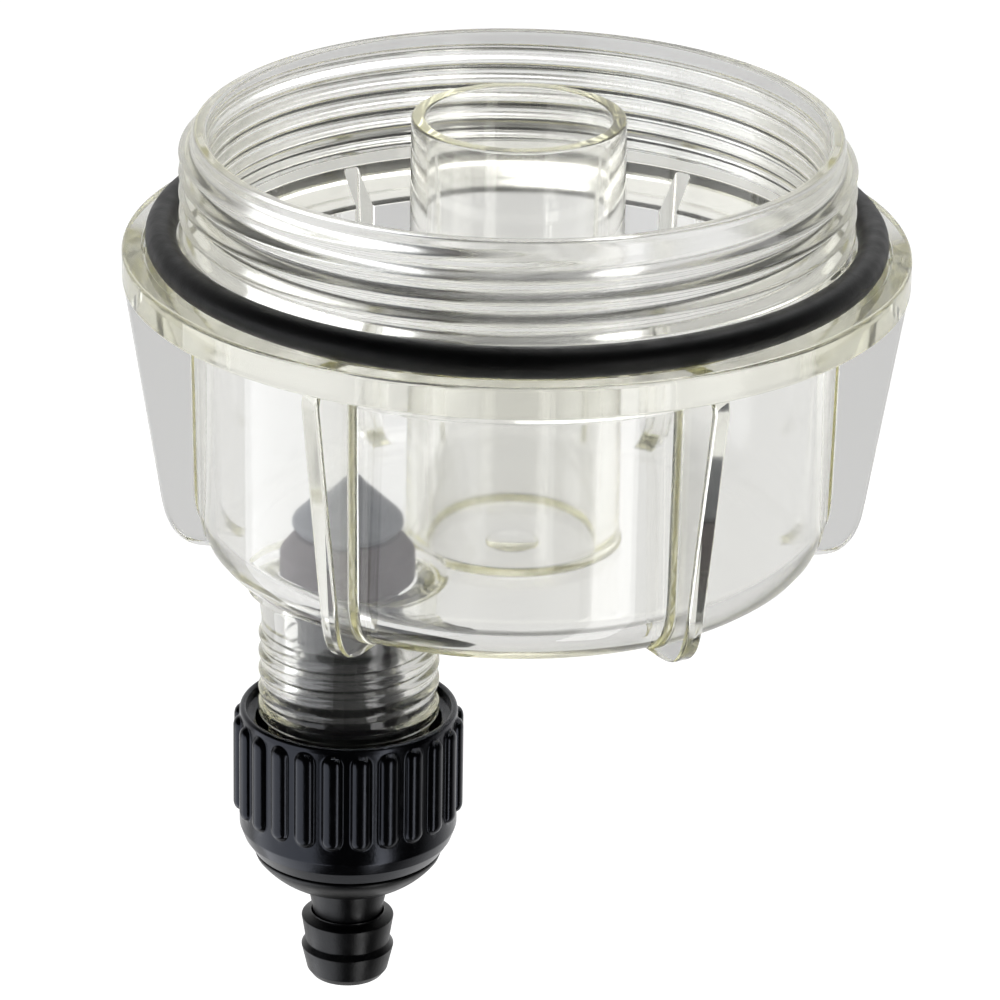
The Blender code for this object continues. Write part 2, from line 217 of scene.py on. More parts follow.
def strip(a, b):
    """Faces between two keyed columns: quads where the keys agree, triangles where one has a key more."""
    faces = []
    i = j = 0
    while i < len(a) - 1 or j < len(b) - 1:
        next_a = a[i + 1][0] if i < len(a) - 1 else None
        next_b = b[j + 1][0] if j < len(b) - 1 else None
        if next_a == next_b:
            face = (a[i][1], a[i + 1][1], b[j + 1][1], b[j][1])
            i += 1
            j += 1
        elif next_b is None or (next_a is not None and next_a < next_b):
            face = (a[i][1], a[i + 1][1], b[j][1])
            i += 1
        else:
            face = (a[i][1], b[j + 1][1], b[j][1])
            j += 1
        corners = tuple(dict.fromkeys(face))
        if len(corners) > 2:
            faces.append(corners)
    return faces


SHARP_EDGE = math.radians(38)
BOWL_SHARP_EDGE = math.radians(32)
NUT_SHARP_EDGE = math.radians(50)


def finished(name, mesh):
    """An object of this mesh, with its faces outwards and smooth up to sharp edges."""
    work = bmesh.new()
    work.from_mesh(mesh)
    bmesh.ops.recalc_face_normals(work, faces=work.faces)
    work.to_mesh(mesh)
    work.free()
    mesh.shade_smooth()
    mesh.set_sharp_from_angle(angle=SHARP_EDGE)
    obj = bpy.data.objects.new(name, mesh)
    bpy.context.scene.collection.objects.link(obj)
    return obj


def combine(obj, tool, operation):
    """Joins or cuts with a tool, keeps the result as the object's mesh and removes the tool."""
    modifier = obj.modifiers.new("combine", "BOOLEAN")
    modifier.operation = operation
    modifier.solver = "MANIFOLD"
    modifier.object = tool
    graph = bpy.context.evaluated_depsgraph_get()
    mesh = bpy.data.meshes.new_from_object(obj.evaluated_get(graph), depsgraph=graph)
    obj.modifiers.clear()
    old = obj.data
    obj.data = mesh
    bpy.data.meshes.remove(old)
    bpy.data.objects.remove(tool)


def loft(name, sections):
    """A closed body through sections of equal point count, capped at both ends."""
    count = len(sections[0])
    verts = [p for section in sections for p in section]
    faces = [tuple(range(count)), tuple(range(len(verts) - count, len(verts)))]
    for s in range(len(sections) - 1):
        for i in range(count):
            k = (i + 1) % count
            faces.append((s * count + i, s * count + k, (s + 1) * count + k, (s + 1) * count + i))
    mesh = bpy.data.meshes.new(name)
    mesh.from_pydata(verts, [], faces)
    return finished(name, mesh)


# ---------------------------------------------------------------- bowl

COLLAR_TOP = 16.85 * MM
RIM_OUT_R = 45.5 * MM
RIM_IN_R = 43.55 * MM
RIM_OUT_FILLET = 0.7 * MM
RIM_IN_FILLET = 0.6 * MM
THREAD_R = 47.5 * MM
THREAD_ROOT_R = 45.7 * MM
THREAD_PITCH = 3.0 * MM
THREAD_ZONE = (15.9 * MM, -0.6 * MM)
THREAD_TOP = 14.75 * MM
THREAD_TURNS = 4.9
THREAD_END_ANGLE = math.radians(-10)
THREAD_FADE = 0.12
GROOVE_OUT_R = 52.5 * MM
GROOVE_LIP_R = GROOVE_OUT_R + 0.1 * MM
GROOVE_Z = RING_LOW.z - 0.05 * MM
GROOVE_IN_FILLET = 0.5 * MM
GROOVE_OUT_FILLET = 0.4 * MM
GROOVE_LIP_FILLET = 0.2 * MM
FLANGE_BOTTOM = -4.5 * MM
FLANGE_ROOT_Z = -9.1 * MM
FLANGE_TOP_FILLET = 0.6 * MM
FLANGE_LOW_FILLET = 0.4 * MM
WALL_TOP_R = 45.6 * MM
WALL_LOW_R = 44.9 * MM
CORNER_R = 8.0 * MM
BOWL_BOTTOM = -46.7 * MM
INSIDE_TOP_R = 43.2 * MM
INSIDE_LOW_R = 42.3 * MM
INSIDE_TOP_FILLET = 4.0 * MM
INSIDE_CORNER_R = 5.5 * MM
FLOOR_TOP = -43.8 * MM
PIPE_TOP_R = 15.05 * MM
PIPE_FOOT_R = 15.35 * MM
PIPE_BORE_R = PIPE_TOP_R - 2.0 * MM  # at the top
PIPE_FOOT_BORE_R = 12.2 * MM
PIPE_FILLET = 0.5 * MM
PIPE_RIM_FILLET = 0.35 * MM
GATE_R = 3.7 * MM  # the ring that the mould's gate left under the floor
GATE_EDGE_R = GATE_R + 0.15 * MM
GATE_STEP_R = GATE_R - 0.3 * MM
GATE_HIGH = BOWL_BOTTOM + 0.2 * MM
GATE_MIDDLE = BOWL_BOTTOM + 0.05 * MM
BOWL_STEPS = 256
BOWL_FILLET_STEPS = 6

SPIGOT_R = 12.9 * MM
SPIGOT_ROOT_R = 12.5 * MM
SPIGOT_STEP_Z = -66.2 * MM
SPIGOT_LOW_R = 11.5 * MM
SPIGOT_PITCH = 2.8 * MM
SPIGOT_ZONE = (-51.6 * MM, -64.0 * MM)
SPIGOT_THREAD_TOP = -52.9 * MM
SPIGOT_TURNS = 4.0
SPIGOT_END_ANGLE = math.radians(40)
SPIGOT_FADE = 0.5
SPIGOT_FLARE = 1.6 * MM
SPIGOT_FLARE_STEPS = 6
SPIGOT_FILLET = 0.3 * MM
SPIGOT_END_FILLET = 0.5 * MM
SPIGOT_FILLET_STEPS = 4
SPIGOT_RUN_OUT = 0.6 * MM
SPIGOT_STEPS = 160
BORE_R = 9.0 * MM
BORE_OVER = 1.0 * MM  # how far the cutter reaches past the plastic
BORE_STEPS = 128
SEAT_R = 9.7 * MM
SEAT_Z = -45.2 * MM
SEAT_EDGE_R = SEAT_R + 0.9 * MM
SEAT_EDGE_Z = SEAT_Z + 0.4 * MM
SEAT_LOW_Z = SEAT_Z - 1.4 * MM
MOUTH_R = 12.9 * MM
MOUTH_EDGE_R = MOUTH_R + 0.8 * MM
MOUTH_EDGE_Z = FLOOR_TOP + 0.01 * MM
MOUTH_LOW_Z = FLOOR_TOP - 0.35 * MM

RIB_COUNT = 6
RIB_FIRST = -60  # degrees
RIB_HALF = 1.4 * MM
RIB_START_Z = -2.0 * MM
RIB_TIP = (55.4 * MM, -6.2 * MM)
RIB_START_R = RIB_TIP[0] - 0.9 * MM
RIB_LOW = (50.2 * MM, -39.2 * MM)
RIB_FOOT = (44.3 * MM, -46.35 * MM)
RIB_CORNER_TURN = math.radians(74)
RIB_EDGE = 0.55 * MM
RIB_FLARE = 0.8 * MM
RIB_LEAST = RIB_FLARE + RIB_EDGE + 0.2 * MM  # a rib that stands out less has smaller fillets
RIB_SUNK = 1.2 * MM  # how far its body and its flared root reach into the wall
RIB_ROOT_SUNK = 0.06 * MM
RIB_STEPS = 12
RIB_FILLET_STEPS = 4


def bowl_profile():
    """From the axis on the floor, over the standpipe, up the inside, over the rim and down to the gate."""
    collar = Thread(
        THREAD_R,
        THREAD_ROOT_R,
        THREAD_PITCH,
        THREAD_TOP,
        THREAD_TURNS,
        THREAD_END_ANGLE,
        THREAD_ZONE,
        THREAD_FADE,
    )
    inside = [
        (0.0, FLOOR_TOP),
        (PIPE_FOOT_BORE_R, FLOOR_TOP, PIPE_FILLET),
        (PIPE_BORE_R, PIPE_TOP, PIPE_RIM_FILLET),
        (PIPE_TOP_R, PIPE_TOP, PIPE_RIM_FILLET),
        (PIPE_FOOT_R, FLOOR_TOP, PIPE_FILLET),
        (INSIDE_LOW_R, FLOOR_TOP, INSIDE_CORNER_R),
        (INSIDE_TOP_R, 0.0, INSIDE_TOP_FILLET),
        (RIM_IN_R, COLLAR_TOP, RIM_IN_FILLET),
        (RIM_OUT_R, COLLAR_TOP, RIM_OUT_FILLET),
        (THREAD_ROOT_R, THREAD_ZONE[0]),
    ]
    outside = [
        (THREAD_ROOT_R, THREAD_ZONE[1]),
        (THREAD_ROOT_R, GROOVE_Z, GROOVE_IN_FILLET),
        (GROOVE_OUT_R, GROOVE_Z, GROOVE_OUT_FILLET),
        (GROOVE_LIP_R, 0.0, GROOVE_LIP_FILLET),
        (FLANGE_R, 0.0, FLANGE_TOP_FILLET),
        (FLANGE_R, FLANGE_BOTTOM, FLANGE_LOW_FILLET),
        (WALL_TOP_R, FLANGE_ROOT_Z, FLANGE_LOW_FILLET),
        (WALL_LOW_R, BOWL_BOTTOM, CORNER_R),
        (GATE_EDGE_R, BOWL_BOTTOM),
        (GATE_R, GATE_HIGH),
        (GATE_STEP_R, GATE_MIDDLE),
        (0.0, GATE_MIDDLE),
    ]
    return rounded(inside, BOWL_FILLET_STEPS) + [collar] + rounded(outside, BOWL_FILLET_STEPS)


def make_rib(angle):
    """A rib from the flange down the wall and round the bowl's corner, with a flared root and soft edges."""
    lean = (RIB_TIP[0] - RIB_LOW[0]) / (RIB_TIP[1] - RIB_LOW[1])
    knee = (RIB_LOW[0] + lean * (RIB_FOOT[1] - RIB_LOW[1]), RIB_FOOT[1])
    corner = (WALL_LOW_R - CORNER_R, BOWL_BOTTOM + CORNER_R)
    pairs = [((WALL_TOP_R, RIB_START_Z), (RIB_START_R, RIB_START_Z)), ((WALL_TOP_R, RIB_TIP[1]), RIB_TIP)]
    for k in range(1, RIB_STEPS):
        t = k / RIB_STEPS
        z = RIB_TIP[1] + (RIB_LOW[1] - RIB_TIP[1]) * t
        wall = WALL_TOP_R + (WALL_LOW_R - WALL_TOP_R) * z / (BOWL_BOTTOM - FLANGE_BOTTOM)
        pairs.append(((wall, z), (RIB_TIP[0] + (RIB_LOW[0] - RIB_TIP[0]) * t, z)))
    for k in range(RIB_STEPS + 1):
        t = k / RIB_STEPS
        turn = -RIB_CORNER_TURN * t
        inner = (corner[0] + CORNER_R * math.cos(turn), corner[1] + CORNER_R * math.sin(turn))
        pairs.append((inner, quadratic(RIB_LOW, knee, RIB_FOOT, t)))
    sections = [rib_section(inner, outer) for inner, outer in pairs]
    spin = Matrix.Rotation(angle, 4, "Z")
    return loft("rib", [[spin @ Vector(p) for p in section] for section in sections])


def rib_section(inner, outer):
    """Outline of the rib between a point on the bowl and a point on the rib's edge."""
    a = Vector((inner[0], 0.0, inner[1]))
    b = Vector((outer[0], 0.0, outer[1]))
    length = (b - a).length
    along = (b - a).normalized()
    scale = min(1.0, length / RIB_LEAST)
    flare = RIB_FLARE * scale
    edge = RIB_EDGE * scale
    half = [(-RIB_SUNK, RIB_HALF + flare)]
    for x, y in arc(180, 270, RIB_FILLET_STEPS):
        half.append((flare + flare * x - RIB_ROOT_SUNK, RIB_HALF + flare + flare * y))
    for x, y in arc(90, 0, RIB_FILLET_STEPS):
        half.append((length - edge + edge * x, RIB_HALF - edge + edge * y))
    points = half + [(s, -t) for s, t in reversed(half)]
    return [a + along * s + Vector((0.0, t, 0.0)) for s, t in points]


def make_spigot():
    """Threaded spigot as a solid, with a flare where it leaves the bowl's underside."""
    thread = Thread(
        SPIGOT_R,
        SPIGOT_ROOT_R,
        SPIGOT_PITCH,
        SPIGOT_THREAD_TOP,
        SPIGOT_TURNS,
        SPIGOT_END_ANGLE,
        SPIGOT_ZONE,
        SPIGOT_FADE,
    )
    flare_r = SPIGOT_R + SPIGOT_FLARE
    upper = [(0.0, SEAT_Z), (flare_r, SEAT_Z), (flare_r, BOWL_BOTTOM)]
    for x, y in arc(90, 180, SPIGOT_FLARE_STEPS)[1:]:
        upper.append((flare_r + SPIGOT_FLARE * x, BOWL_BOTTOM - SPIGOT_FLARE + SPIGOT_FLARE * y))
    upper.append((SPIGOT_ROOT_R, SPIGOT_ZONE[0]))
    lower = [
        (SPIGOT_ROOT_R, SPIGOT_ZONE[1]),
        (SPIGOT_R, SPIGOT_ZONE[1] - SPIGOT_RUN_OUT, SPIGOT_FILLET),
        (SPIGOT_R, SPIGOT_STEP_Z, SPIGOT_FILLET),
        (SPIGOT_LOW_R, SPIGOT_STEP_Z, SPIGOT_FILLET),
        (SPIGOT_LOW_R, SPIGOT_END, SPIGOT_END_FILLET),
        (0.0, SPIGOT_END),
    ]
    profile = upper + [thread] + rounded(lower, SPIGOT_FILLET_STEPS)
    return turned("spigot", profile, SPIGOT_STEPS, DRAIN_Y)


def make_bore():
    """What is cut from the floor and the spigot: the mouth, the seat and the bore."""
    profile = [
        (0.0, FLOOR_TOP + BORE_OVER),
        (MOUTH_EDGE_R, FLOOR_TOP + BORE_OVER),
        (MOUTH_EDGE_R, MOUTH_EDGE_Z),
        (MOUTH_R, MOUTH_LOW_Z),
        (SEAT_EDGE_R, SEAT_EDGE_Z),
        (SEAT_R, SEAT_Z),
        (BORE_R, SEAT_LOW_Z),
        (BORE_R, SPIGOT_END - BORE_OVER),
        (0.0, SPIGOT_END - BORE_OVER),
    ]
    return turned("bore", profile, BORE_STEPS, DRAIN_Y)


def make_bowl():
    """The moulding: turned body, ribs and spigot joined, then the drain cut through."""
    bowl = turned("clear_bowl", bowl_profile(), BOWL_STEPS)
    for i in range(RIB_COUNT):
        combine(bowl, make_rib(math.radians(RIB_FIRST + 360 / RIB_COUNT * i)), "UNION")
    combine(bowl, make_spigot(), "UNION")
    combine(bowl, make_bore(), "DIFFERENCE")
    bowl.data.shade_smooth()
    bowl.data.set_sharp_from_angle(angle=BOWL_SHARP_EDGE)
    even = bowl.modifiers.new("even normals", "WEIGHTED_NORMAL")
    even.keep_sharp = True
    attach(bowl, "bowl")
    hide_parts("bowl")
    return bowl


RING_SECTION_R = (RING_HIGH.z - RING_LOW.z) / 2
RING_MIDDLE_R = RING_HIGH.x - RING_SECTION_R
RING_MIDDLE_Z = (RING_HIGH.z + RING_LOW.z) / 2
RING_SECTION_STEPS = 28


def make_seal_ring():
    """The round-section ring in the flange's groove."""
    section = []
    for x, y in arc(0, -360, RING_SECTION_STEPS)[:-1]:
        section.append((RING_MIDDLE_R + RING_SECTION_R * x, RING_MIDDLE_Z + RING_SECTION_R * y))
    ring = turned("seal_ring", section, BOWL_STEPS, closed=True)
    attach(ring, "bowl")
    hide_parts("bowl_seal_ring")
    return ring


# ---------------------------------------------------------------- drain valve

DOME_R = 13.65 * MM  # the dome under the nut, and the nut's lower face that it meets

NUT_R = 15.6 * MM
NUT_TOP_R = NUT_R - 0.1 * MM
NUT_MOUTH_R = 14.55 * MM
NUT_BORE_R = 13.35 * MM
NUT_FLOOR = -84.4 * MM
NUT_HOLE_R = 9.6 * MM
NUT_MOUTH_Z = NUT_HIGH.z - 1.6 * MM
NUT_BORE_Z = NUT_HIGH.z - 2.0 * MM
NUT_EDGE_Z = NUT_HIGH.z - 0.9 * MM
NUT_UNDER = [(NUT_R, -82.2 * MM), (NUT_R, -83.6 * MM, 0.9 * MM), (14.95 * MM, -85.4 * MM, 0.25 * MM)]
NUT_HOLE_FILLET = 0.2 * MM
NUT_MOUTH_FILLET = 0.45 * MM
NUT_TOP_FILLET = 0.5 * MM
NUT_FILLET_STEPS = 5
NUT_SEAM = 0.001 * MM  # keeps the edge's last point and the side's first apart
NUT_SIDE_SLACK = 0.01 * MM
GRIP_R = 16.55 * MM
GRIP_TOP = -66.6 * MM
GRIP_BOTTOM = -81.2 * MM
GRIP_COUNT = 24
GRIP_FIRST = math.radians(8.0)
GRIP_HALF = 1.42 * MM
GRIP_FOOT = 0.22 * MM
GRIP_FOOT_HEIGHT = 0.16  # share of the rib's height
GRIP_PITCH = 2 * math.pi / GRIP_COUNT
GRIP_COLUMNS = 24  # per rib
GRIP_FLANK = 0.68  # share of the columns that lie on the rib
GRIP_SPREAD = 1.4  # how much the other columns crowd at its foot
GRIP_ROWS = 64
GRIP_ROW_EASE = 0.55  # how much the rows crowd at the ribs' ends


def grip_height(aside, z):
    """Share of the rib's height at a distance from its middle line: round across and at its ends."""
    beyond = max(z - (GRIP_TOP - GRIP_HALF), (GRIP_BOTTOM + GRIP_HALF) - z, 0.0)
    across = math.hypot(aside, beyond)
    foot = min(max(1 - (across - GRIP_HALF) / GRIP_FOOT, 0.0), 1.0)
    return max(GRIP_FOOT_HEIGHT * foot * foot, math.sqrt(max(1 - (across / GRIP_HALF) ** 2, 0.0)))


def grip_angle(turn):
    """Crowds columns spaced evenly over a rib's share of the turn (-0.5 to 0.5) onto the rib's flanks."""
    half_step = math.pi * NUT_R / GRIP_COUNT
    edge = GRIP_HALF / half_step / 2
    share = abs(turn) / 0.5
    if share < GRIP_FLANK:
        moved = edge * math.sin(math.pi / 2 * share / GRIP_FLANK)
    else:
        moved = edge + (0.5 - edge) * ((share - GRIP_FLANK) / (1 - GRIP_FLANK)) ** GRIP_SPREAD
    return math.copysign(moved, turn)


def grip_rows():
    """Points down the nut's outer side, from above the ribs to below them."""
    rows = [(NUT_R, NUT_EDGE_Z - NUT_SEAM)]
    reach = GRIP_TOP - GRIP_BOTTOM + 2 * GRIP_FOOT
    for k in range(GRIP_ROWS + 1):
        ease = 0.5 - 0.5 * math.cos(math.pi * k / GRIP_ROWS)
        share = GRIP_ROW_EASE * ease + (1 - GRIP_ROW_EASE) * k / GRIP_ROWS
        rows.append((NUT_R, GRIP_TOP + GRIP_FOOT - reach * share))
    return rows


def raise_grips(mesh):
    """Moves the nut's columns onto the ribs' flanks and its outer side out to the ribs."""
    for v in mesh.vertices:
        x, y = v.co.x, v.co.y - DRAIN_Y
        r = math.hypot(x, y)
        whole = (math.atan2(y, x) - GRIP_FIRST) / GRIP_PITCH
        turn = (whole + 0.5) % 1.0 - 0.5
        moved = grip_angle(turn)
        angle = GRIP_FIRST + (whole - turn + moved) * GRIP_PITCH
        if r > NUT_R - NUT_SIDE_SLACK and GRIP_BOTTOM - GRIP_FOOT < v.co.z < GRIP_TOP + GRIP_FOOT:
            r += (GRIP_R - NUT_R) * grip_height(moved * GRIP_PITCH * NUT_R, v.co.z)
        v.co.x, v.co.y = r * math.cos(angle), DRAIN_Y + r * math.sin(angle)


def make_nut():
    """The nut's inside and edges are turned. Its outer side is a grid whose radius rises over each rib."""
    inner = [
        (DOME_R, NUT_LOW.z),
        (NUT_HOLE_R, NUT_LOW.z, NUT_HOLE_FILLET),
        (NUT_HOLE_R, NUT_FLOOR, NUT_HOLE_FILLET),
        (NUT_BORE_R, NUT_FLOOR),
        (NUT_BORE_R, NUT_BORE_Z),
        (NUT_MOUTH_R, NUT_MOUTH_Z),
        (NUT_MOUTH_R, NUT_HIGH.z, NUT_MOUTH_FILLET),
        (NUT_TOP_R, NUT_HIGH.z, NUT_TOP_FILLET),
        (NUT_R, NUT_EDGE_Z),
    ]
    under = NUT_UNDER + [(DOME_R, NUT_LOW.z)]
    profile = rounded(inner, NUT_FILLET_STEPS)[:-1] + grip_rows() + rounded(under, NUT_FILLET_STEPS)[:-1]
    nut = turned("ribbed_nut", profile, GRIP_COUNT * GRIP_COLUMNS, DRAIN_Y, closed=True, start=GRIP_FIRST)
    raise_grips(nut.data)
    nut.data.set_sharp_from_angle(angle=NUT_SHARP_EDGE)
    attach(nut, "drain_nut")
    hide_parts("drain_nut")
    return nut


TAIL_BORE_R = 3.6 * MM
TAIL_SOCKET_R = 6.3 * MM  # the hole that holds the stem
TAIL_SOCKET_Z = STEM_LOW.z - 0.3 * MM
TAIL_BORE_FILLET = 0.4 * MM
TAIL_SOCKET_FILLET = 0.2 * MM
SLEEVE_R = 9.2 * MM
SLEEVE_FILLET = 0.3 * MM
CLIP_GROOVE_R = 8.4 * MM
CLIP_MIDDLE = (CLIP_HIGH.z + CLIP_LOW.z) / 2
CLIP_GROOVE_HALF = (CLIP_HIGH.z - CLIP_LOW.z) / 2 + 0.3 * MM
DOME_TOP = NUT_LOW.z - 0.3 * MM
DOME_CURVE = ((DOME_R, DOME_TOP - 0.35 * MM), (10.8 * MM, -92.2 * MM), (5.9 * MM, -93.3 * MM))
DOME_FILLET = 0.3 * MM
DOME_STEPS = 14
TAIL_NECK = in_mm((5.27, -93.9, 0.4), (5.27, -98.25, 0.35))
TAIL_BARBS = in_mm((6.68, -98.75, 0.22), (6.05, -102.6, 0.3), (6.68, -103.45, 0.22), (5.85, -107.0, 0.5))
TAIL_END = (5.1 * MM, TAIL_LOW.z, 0.3 * MM)
TAIL_FILLET_STEPS = 5
TAIL_STEPS = 192


def make_tail():
    """Sleeve in the nut, dome below it, neck and two barbs."""
    groove_top = CLIP_MIDDLE + CLIP_GROOVE_HALF
    groove_bottom = CLIP_MIDDLE - CLIP_GROOVE_HALF
    inside = [
        (TAIL_BORE_R, TAIL_LOW.z, TAIL_BORE_FILLET),
        (TAIL_BORE_R, TAIL_SOCKET_Z),
        (TAIL_SOCKET_R, TAIL_SOCKET_Z),
        (TAIL_SOCKET_R, TAIL_HIGH.z, TAIL_SOCKET_FILLET),
        (SLEEVE_R, TAIL_HIGH.z, SLEEVE_FILLET),
        (SLEEVE_R, groove_top),
        (CLIP_GROOVE_R, groove_top),
        (CLIP_GROOVE_R, groove_bottom),
        (SLEEVE_R, groove_bottom),
        (SLEEVE_R, DOME_TOP),
        (DOME_R, DOME_TOP, DOME_FILLET),
    ]
    dome = [quadratic(*DOME_CURVE, k / DOME_STEPS) for k in range(1, DOME_STEPS + 1)]
    barbs = TAIL_NECK + TAIL_BARBS + [TAIL_END, (TAIL_BORE_R, TAIL_LOW.z)]
    profile = rounded(inside, TAIL_FILLET_STEPS) + dome + rounded(barbs, TAIL_FILLET_STEPS)[:-1]
    tail = turned("barbed_tail", profile, TAIL_STEPS, DRAIN_Y, closed=True)
    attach(tail, "valve")
    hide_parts("hose_tail")
    return tail


HEAD_HOLE_R = 3.3 * MM  # in the seal and the tip, for the stem's upper end
HEAD_STEPS = 96
HEAD_FILLET_STEPS = 6
SEAL_TOP = (7.3 * MM, SEAL_HIGH.z, 0.6 * MM)
SEAL_SIDE = in_mm((9.4, -41.0, 1.2), (9.4, -44.95, 0.5))
SEAL_BOTTOM = (7.9 * MM, SEAL_LOW.z, 0.3 * MM)
TIP_POINT = (1.5 * MM, TIP_HIGH.z - 0.4 * MM, 0.8 * MM)
TIP_SIDE = in_mm((7.75, -36.1, 1.4), (7.75, -37.0, 0.4))
TIP_BOTTOM = (6.9 * MM, TIP_LOW.z, 0.2 * MM)
TIP_HOLE_END = STEM_HIGH.z + 0.3 * MM


def make_seal():
    """The rubber step of the valve's head, with a sloped shoulder."""
    profile = [
        (HEAD_HOLE_R, SEAL_LOW.z),
        (HEAD_HOLE_R, SEAL_HIGH.z),
        SEAL_TOP,
        *SEAL_SIDE,
        SEAL_BOTTOM,
    ]
    seal = turned("rubber_seal", rounded(profile, HEAD_FILLET_STEPS), HEAD_STEPS, DRAIN_Y, closed=True)
    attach(seal, "valve")
    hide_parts("valve_seal")
    return seal


def make_tip():
    """The pointed step of the valve's head."""
    profile = [
        (0.0, TIP_HIGH.z),
        TIP_POINT,
        *TIP_SIDE,
        TIP_BOTTOM,
        (HEAD_HOLE_R, TIP_LOW.z),
        (HEAD_HOLE_R, TIP_HOLE_END),
        (0.0, TIP_HOLE_END),
    ]
    tip = turned("pointed_tip", rounded(profile, HEAD_FILLET_STEPS), HEAD_STEPS, DRAIN_Y)
    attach(tip, "valve")
    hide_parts("valve_tip")
    return tip


# ---------------------------------------------------------------- shader nodes


def new_material(name, color, roughness):
    """A material with its node tree and its Principled shader."""
    material = bpy.data.materials.new(name)
    material.use_nodes = True
    shader = material.node_tree.nodes["Principled BSDF"]
    shader.inputs["Base Color"].default_value = (*color, 1.0)
    shader.inputs["Roughness"].default_value = roughness
    return material, material.node_tree, shader


def noise(tree, scale, detail=3.0, stretch=(1.0, 1.0, 1.0)):
    """A noise texture in the object's own metres, stretched along chosen axes."""
    place = tree.nodes.new("ShaderNodeTexCoord")
    mapping = tree.nodes.new("ShaderNodeMapping")
    mapping.inputs["Scale"].default_value = stretch
    texture = tree.nodes.new("ShaderNodeTexNoise")
    texture.inputs["Scale"].default_value = scale
    texture.inputs["Detail"].default_value = detail
    tree.links.new(place.outputs["Object"], mapping.inputs["Vector"])
    tree.links.new(mapping.outputs["Vector"], texture.inputs["Vector"])
    return texture.outputs["Fac"]


def ranged(tree, value, low, high, start=0.3, end=0.7):
    """Maps a value between start and end to low to high. By default it spreads out a noise value."""
    node = tree.nodes.new("ShaderNodeMapRange")
    node.inputs["From Min"].default_value = start
    node.inputs["From Max"].default_value = end
    node.inputs["To Min"].default_value = low
    node.inputs["To Max"].default_value = high
    tree.links.new(value, node.inputs["Value"])
    return node.outputs["Result"]


def toned(tree, value, dark, light):
    """Mixes two colours by a noise value."""
    node = tree.nodes.new("ShaderNodeMix")
    node.data_type = "RGBA"
    node.inputs[6].default_value = (*dark, 1.0)
    node.inputs[7].default_value = (*light, 1.0)
    tree.links.new(ranged(tree, value, 0.0, 1.0), node.inputs[0])
    return node.outputs[2]


def chosen(tree, share, a, b):
    """Mixes two values."""
    node = tree.nodes.new("ShaderNodeMix")
    tree.links.new(share, node.inputs[0])
    tree.links.new(a, node.inputs[2])
    tree.links.new(b, node.inputs[3])
    return node.outputs[0]


def calculated(tree, operation, a, b):
    """Sum, product or larger of two values."""
    node = tree.nodes.new("ShaderNodeMath")
    node.operation = operation
    tree.links.new(a, node.inputs[0])
    tree.links.new(b, node.inputs[1])
    return node.outputs[0]


def vector_length(tree, vector):
    """Length of a vector."""
    node = tree.nodes.new("ShaderNodeVectorMath")
    node.operation = "LENGTH"
    tree.links.new(vector, node.inputs[0])
    return node.outputs["Value"]


def distance_along(tree, vector, direction):
    """How far a vector reaches in a fixed direction."""
    node = tree.nodes.new("ShaderNodeVectorMath")
    node.operation = "DOT_PRODUCT"
    node.inputs[1].default_value = direction
    tree.links.new(vector, node.inputs[0])
    return node.outputs["Value"]


def bump(tree, shader, value, distance):
    """Fine relief in a surface."""
    node = tree.nodes.new("ShaderNodeBump")
    node.inputs["Distance"].default_value = distance
    node.inputs["Strength"].default_value = 1.0
    tree.links.new(value, node.inputs["Height"])
    tree.links.new(node.outputs["Normal"], shader.inputs["Normal"])


# ---------------------------------------------------------------- materials

# Detail of the surfaces, in turns of noise per metre
CLEAR_CLOUDS = 60.0
CLEAR_WAVES = 90.0
CLEAR_WAVE_STRETCH = (1.0, 1.0, 0.35)
CLEAR_WAVE_DEPTH = 0.00002
MOTTLE = 240.0
SMUDGES = 420.0
GRAIN = 2600.0

CLEAR_TRANSMISSION = 0.985
CLEAR_IOR = 1.57
CLEAR_ROUGHNESS = 0.02  # for viewers that show no procedural detail
CLEAR_POLISH = (0.03, 0.07)
CLEAR_TINT = (0.99, 0.975, 0.75, 1.0)
CLEAR_DENSITY = 22.0  # per metre
THREAD_DULLNESS = 0.07  # added roughness of the plastic's two threads
COLLAR_DULL_Z = (-0.5 * MM, 1.0 * MM)
COLLAR_DULL_R = (20.0 * MM, 22.0 * MM)  # leaves the standpipe out
SPIGOT_DULL_Z = (-52.5 * MM, -51.0 * MM)

# dark colour, light colour, roughness, depth of the grain
FINISHES = {
    "ring rubber": ((0.0015, 0.0015, 0.0018), (0.003, 0.003, 0.0035), (0.42, 0.55), 0.00003),
    "black plastic": ((0.0008, 0.0008, 0.0012), (0.0018, 0.0018, 0.0024), (0.16, 0.26), 0.00001),
    "tail plastic": ((0.0015, 0.0015, 0.002), (0.003, 0.003, 0.004), (0.3, 0.42), 0.00002),
    "seal rubber": ((0.17, 0.138, 0.148), (0.25, 0.21, 0.225), (0.55, 0.7), 0.00003),
    "tip plastic": ((0.28, 0.295, 0.335), (0.37, 0.385, 0.43), (0.4, 0.55), 0.00002),
    "spring steel": ((0.45, 0.45, 0.46), (0.62, 0.62, 0.63), (0.25, 0.35), 0.00001),
}
NUT_SHEEN_TINT = (0.8, 0.85, 1.0, 1.0)


